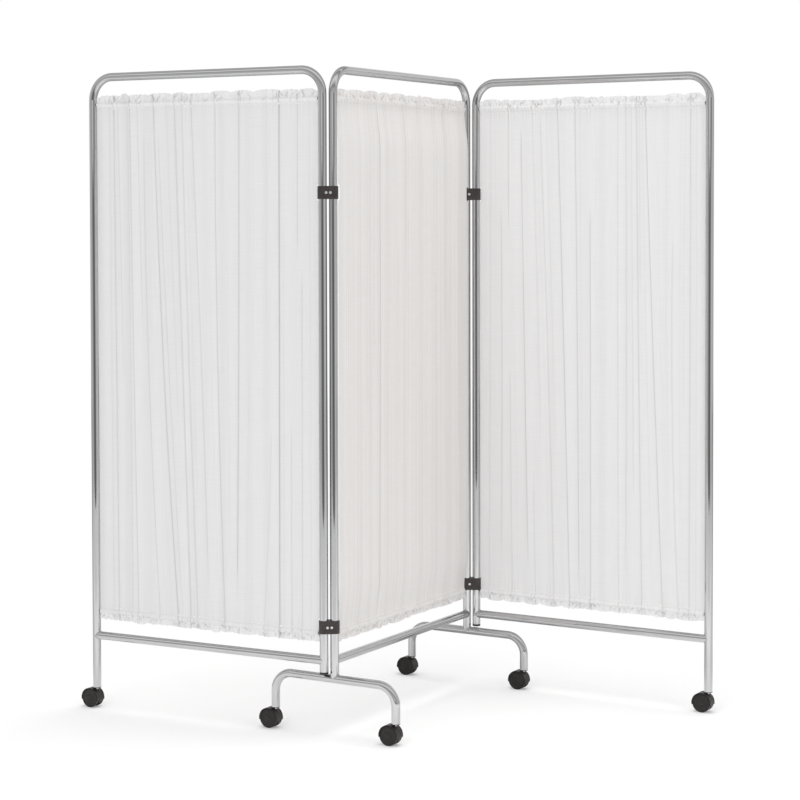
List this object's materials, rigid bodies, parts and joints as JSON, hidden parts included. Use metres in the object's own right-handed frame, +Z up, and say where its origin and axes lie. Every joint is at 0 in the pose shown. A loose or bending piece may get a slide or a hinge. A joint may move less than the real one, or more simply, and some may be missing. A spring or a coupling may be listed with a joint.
{
  "type": "medical privacy screen",
  "caption": "Folding ward screen of chromed tube panels joined by black two-tube clips, with gathered white curtains and swivel casters.",
  "frame": {"origin": "on the floor, under the middle of the standing screen's box", "axes": "+Z up; +X along the line of the two outer legs, from the left panel to the right one; +Y from the front towards the back"},
  "size_m": [1.697, 0.84, 1.7],
  "materials": {
    "chrome_tube": "polished chrome plate on steel tube",
    "curtain_fabric": "thin white woven polyester, gathered",
    "clip_plastic": "moulded black, slight sheen",
    "caster_plastic": "moulded black, satin",
    "wheel_plastic": "moulded black nylon",
    "plug_plastic": "moulded black",
    "bright_steel": "bright zinc plated steel"
  },
  "bodies": {
    "middle_panel": {"middle_frame": "chrome_tube", "middle_crossbar": "chrome_tube", "middle_top_rod": "bright_steel", "middle_bottom_rod": "bright_steel", "middle_curtain": "curtain_fabric", "middle_caster_inserts": "plug_plastic", "middle_caster_stems": "bright_steel", "front_foot": "chrome_tube", "rear_foot": "chrome_tube"},
    "left_panel": {"left_frame": "chrome_tube", "left_crossbar": "chrome_tube", "left_top_rod": "bright_steel", "left_bottom_rod": "bright_steel", "left_curtain": "curtain_fabric", "left_caster_inserts": "plug_plastic", "left_caster_stems": "bright_steel", "left_leg_plug": "plug_plastic"},
    "right_panel": {"right_frame": "chrome_tube", "right_crossbar": "chrome_tube", "right_top_rod": "bright_steel", "right_bottom_rod": "bright_steel", "right_curtain": "curtain_fabric", "right_caster_inserts": "plug_plastic", "right_caster_stems": "bright_steel", "right_leg_plug": "plug_plastic"},
    "left_clips": {"left_upper_clip": "clip_plastic", "left_lower_clip": "clip_plastic", "left_clip_screws": "bright_steel"},
    "right_clips": {"right_upper_clip": "clip_plastic", "right_lower_clip": "clip_plastic", "right_clip_screws": "bright_steel"},
    "front_left_caster": {"front_left_caster_hood": "caster_plastic", "front_left_caster_axle": "bright_steel"},
    "front_left_near_wheel": {"front_left_near_wheel": "wheel_plastic"},
    "front_left_far_wheel": {"front_left_far_wheel": "wheel_plastic"},
    "front_right_caster": {"front_right_caster_hood": "caster_plastic", "front_right_caster_axle": "bright_steel"},
    "front_right_near_wheel": {"front_right_near_wheel": "wheel_plastic"},
    "front_right_far_wheel": {"front_right_far_wheel": "wheel_plastic"},
    "rear_left_caster": {"rear_left_caster_hood": "caster_plastic", "rear_left_caster_axle": "bright_steel"},
    "rear_left_near_wheel": {"rear_left_near_wheel": "wheel_plastic"},
    "rear_left_far_wheel": {"rear_left_far_wheel": "wheel_plastic"},
    "rear_right_caster": {"rear_right_caster_hood": "caster_plastic", "rear_right_caster_axle": "bright_steel"},
    "rear_right_near_wheel": {"rear_right_near_wheel": "wheel_plastic"},
    "rear_right_far_wheel": {"rear_right_far_wheel": "wheel_plastic"},
    "left_leg_caster": {"left_leg_caster_hood": "caster_plastic", "left_leg_caster_axle": "bright_steel"},
    "left_leg_near_wheel": {"left_leg_near_wheel": "wheel_plastic"},
    "left_leg_far_wheel": {"left_leg_far_wheel": "wheel_plastic"},
    "right_leg_caster": {"right_leg_caster_hood": "caster_plastic", "right_leg_caster_axle": "bright_steel"},
    "right_leg_near_wheel": {"right_leg_near_wheel": "wheel_plastic"},
    "right_leg_far_wheel": {"right_leg_far_wheel": "wheel_plastic"}
  },
  "joints": [
    {"name": "left_clip_turn", "type": "hinge", "parent": "middle_panel", "child": "left_clips", "pos_m": [-0.142, -0.31607, 1.379], "axis": [0, 0, 1], "range_deg": [-27.2, 132.8]},
    {"name": "left_panel_turn", "type": "hinge", "parent": "left_clips", "child": "left_panel", "pos_m": [-0.16836, -0.32034, 1.379], "axis": [0, 0, 1], "range_deg": [-46.1, 113.9]},
    {"name": "right_clip_turn", "type": "hinge", "parent": "middle_panel", "child": "right_clips", "pos_m": [0.18663, 0.30199, 1.379], "axis": [0, 0, 1], "range_deg": [-16.6, 143.4]},
    {"name": "right_panel_turn", "type": "hinge", "parent": "right_clips", "child": "right_panel", "pos_m": [0.21332, 0.30134, 1.379], "axis": [0, 0, 1], "range_deg": [-53.3, 106.7]},
    {"name": "front_left_swivel", "type": "hinge", "parent": "middle_panel", "child": "front_left_caster", "pos_m": [-0.30094, -0.23157, 0.049], "axis": [0, 0, 1], "continuous": true},
    {"name": "front_left_near_wheel_roll", "type": "hinge", "parent": "front_left_caster", "child": "front_left_near_wheel", "pos_m": [-0.31418, -0.22453, 0.025], "axis": [-0.4695, -0.8829, 0], "continuous": true},
    {"name": "front_left_far_wheel_roll", "type": "hinge", "parent": "front_left_caster", "child": "front_left_far_wheel", "pos_m": [-0.31418, -0.22453, 0.025], "axis": [-0.4695, -0.8829, 0], "continuous": true},
    {"name": "front_right_swivel", "type": "hinge", "parent": "middle_panel", "child": "front_right_caster", "pos_m": [0.01692, -0.40058, 0.049], "axis": [0, 0, 1], "continuous": true},
    {"name": "front_right_near_wheel_roll", "type": "hinge", "parent": "front_right_caster", "child": "front_right_near_wheel", "pos_m": [0.00368, -0.39354, 0.025], "axis": [-0.4695, -0.8829, 0], "continuous": true},
    {"name": "front_right_far_wheel_roll", "type": "hinge", "parent": "front_right_caster", "child": "front_right_far_wheel", "pos_m": [0.00368, -0.39354, 0.025], "axis": [-0.4695, -0.8829, 0], "continuous": true},
    {"name": "rear_left_swivel", "type": "hinge", "parent": "middle_panel", "child": "rear_left_caster", "pos_m": [0.02769, 0.38649, 0.049], "axis": [0, 0, 1], "continuous": true},
    {"name": "rear_left_near_wheel_roll", "type": "hinge", "parent": "rear_left_caster", "child": "rear_left_near_wheel", "pos_m": [0.01445, 0.39354, 0.025], "axis": [-0.4695, -0.8829, 0], "continuous": true},
    {"name": "rear_left_far_wheel_roll", "type": "hinge", "parent": "rear_left_caster", "child": "rear_left_far_wheel", "pos_m": [0.01445, 0.39354, 0.025], "axis": [-0.4695, -0.8829, 0], "continuous": true},
    {"name": "rear_right_swivel", "type": "hinge", "parent": "middle_panel", "child": "rear_right_caster", "pos_m": [0.34556, 0.21749, 0.049], "axis": [0, 0, 1], "continuous": true},
    {"name": "rear_right_near_wheel_roll", "type": "hinge", "parent": "rear_right_caster", "child": "rear_right_near_wheel", "pos_m": [0.33231, 0.22453, 0.025], "axis": [-0.4695, -0.8829, 0], "continuous": true},
    {"name": "rear_right_far_wheel_roll", "type": "hinge", "parent": "rear_right_caster", "child": "rear_right_far_wheel", "pos_m": [0.33231, 0.22453, 0.025], "axis": [-0.4695, -0.8829, 0], "continuous": true},
    {"name": "left_leg_swivel", "type": "hinge", "parent": "left_panel", "child": "left_leg_caster", "pos_m": [-0.80432, -0.02784, 0.049], "axis": [0, 0, 1], "continuous": true},
    {"name": "left_leg_near_wheel_roll", "type": "hinge", "parent": "left_leg_caster", "child": "left_leg_near_wheel", "pos_m": [-0.81756, -0.02079, 0.025], "axis": [-0.4695, -0.8829, 0], "continuous": true},
    {"name": "left_leg_far_wheel_roll", "type": "hinge", "parent": "left_leg_caster", "child": "left_leg_far_wheel", "pos_m": [-0.81756, -0.02079, 0.025], "axis": [-0.4695, -0.8829, 0], "continuous": true},
    {"name": "right_leg_swivel", "type": "hinge", "parent": "right_panel", "child": "right_leg_caster", "pos_m": [0.83081, -0.02837, 0.049], "axis": [0, 0, 1], "continuous": true},
    {"name": "right_leg_near_wheel_roll", "type": "hinge", "parent": "right_leg_caster", "child": "right_leg_near_wheel", "pos_m": [0.81756, -0.02133, 0.025], "axis": [-0.4695, -0.8829, 0], "continuous": true},
    {"name": "right_leg_far_wheel_roll", "type": "hinge", "parent": "right_leg_caster", "child": "right_leg_far_wheel", "pos_m": [0.81756, -0.02133, 0.025], "axis": [-0.4695, -0.8829, 0], "continuous": true}
  ]
}
